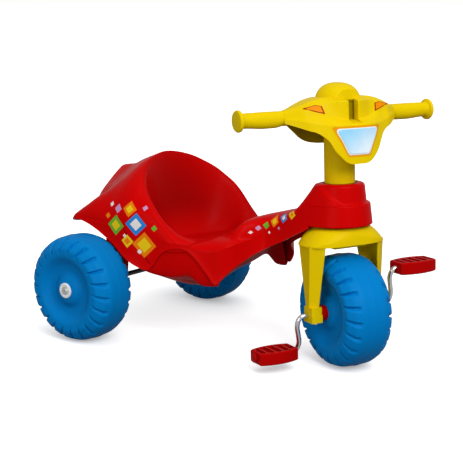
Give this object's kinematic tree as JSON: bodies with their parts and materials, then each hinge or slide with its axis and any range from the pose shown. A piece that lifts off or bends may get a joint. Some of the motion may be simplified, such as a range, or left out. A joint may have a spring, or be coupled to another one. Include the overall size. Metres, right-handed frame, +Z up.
{
  "type": "children's tricycle",
  "caption": "Toddler's pedal tricycle with a moulded bucket seat, hollow plastic wheels, a raked steering column, front fork, crank pedals and a scooter-like handlebar.",
  "frame": {"origin": "on the floor under the middle of the whole object", "axes": "+X forwards, +Y to the rider's left, +Z up"},
  "size_m": [0.6972, 0.496, 0.5165],
  "materials": {
    "red_plastic": "glossy moulded red plastic",
    "yellow_plastic": "satin moulded yellow plastic",
    "blue_plastic": "satin blow-moulded blue plastic",
    "white_plastic": "white plastic washer",
    "black_plastic": "dark bearing plastic",
    "chrome": "bright plated steel rod",
    "dark_steel": "dark steel rod",
    "zinc": "zinc plated fasteners",
    "lamp_blue": "glossy pale blue panel with a white border",
    "lamp_orange": "orange panel with a dark red outline"
  },
  "bodies": {
    "chassis": {"seat_body": "red_plastic", "rear_axle": "dark_steel", "upper_head_bush": "black_plastic", "lower_head_bush": "black_plastic", "axle_clip_left": "black_plastic", "axle_clip_right": "black_plastic", "axle_clip_screws": "zinc", "axle_stop_rings": "zinc", "rear_hub_washers": "white_plastic", "axle_end_caps": "zinc"},
    "steering": {"fork": "yellow_plastic", "fork_shoe_left": "yellow_plastic", "fork_shoe_right": "yellow_plastic", "fork_shoe_screws": "zinc", "steering_column": "yellow_plastic", "handlebar": "yellow_plastic", "handlebar_bolt": "zinc", "handlebar_nut": "zinc", "headlight_panel": "lamp_blue", "indicator_left": "lamp_orange", "indicator_right": "lamp_orange"},
    "front_drive": {"front_wheel": "blue_plastic", "pedal_crank": "chrome", "crank_drive_pin": "zinc", "drive_boss_left": "red_plastic", "drive_boss_right": "red_plastic", "pedal_push_nuts": "zinc"},
    "right_pedal": {"pedal_right": "red_plastic"},
    "left_pedal": {"pedal_left": "red_plastic"},
    "right_rear_wheel": {"rear_wheel_right": "blue_plastic", "rear_hub_bushes_right": "white_plastic"},
    "left_rear_wheel": {"rear_wheel_left": "blue_plastic", "rear_hub_bushes_left": "white_plastic"}
  },
  "joints": [
    {"name": "steering_turn", "type": "hinge", "parent": "chassis", "child": "steering", "pos_m": [0.2209, 0, 0.25], "axis": [-0.0576, 0, 0.9983], "range_deg": [-14, 66]},
    {"name": "front_wheel_spin", "type": "hinge", "parent": "steering", "child": "front_drive", "pos_m": [0.23928, -0.00485, 0.10394], "axis": [0.4376, 0.8988, 0.0252], "continuous": true},
    {"name": "right_pedal_spin", "type": "hinge", "parent": "front_drive", "child": "right_pedal", "pos_m": [0.16413, -0.12005, 0.02982], "axis": [0.4376, 0.8988, 0.0252], "continuous": true},
    {"name": "left_pedal_spin", "type": "hinge", "parent": "front_drive", "child": "left_pedal", "pos_m": [0.31443, 0.11035, 0.17805], "axis": [0.4376, 0.8988, 0.0252], "continuous": true},
    {"name": "right_rear_wheel_spin", "type": "hinge", "parent": "chassis", "child": "right_rear_wheel", "pos_m": [-0.2446, -0.1985, 0.104], "axis": [0, 1, 0], "continuous": true},
    {"name": "left_rear_wheel_spin", "type": "hinge", "parent": "chassis", "child": "left_rear_wheel", "pos_m": [-0.2446, 0.1985, 0.104], "axis": [0, 1, 0], "continuous": true}
  ]
}
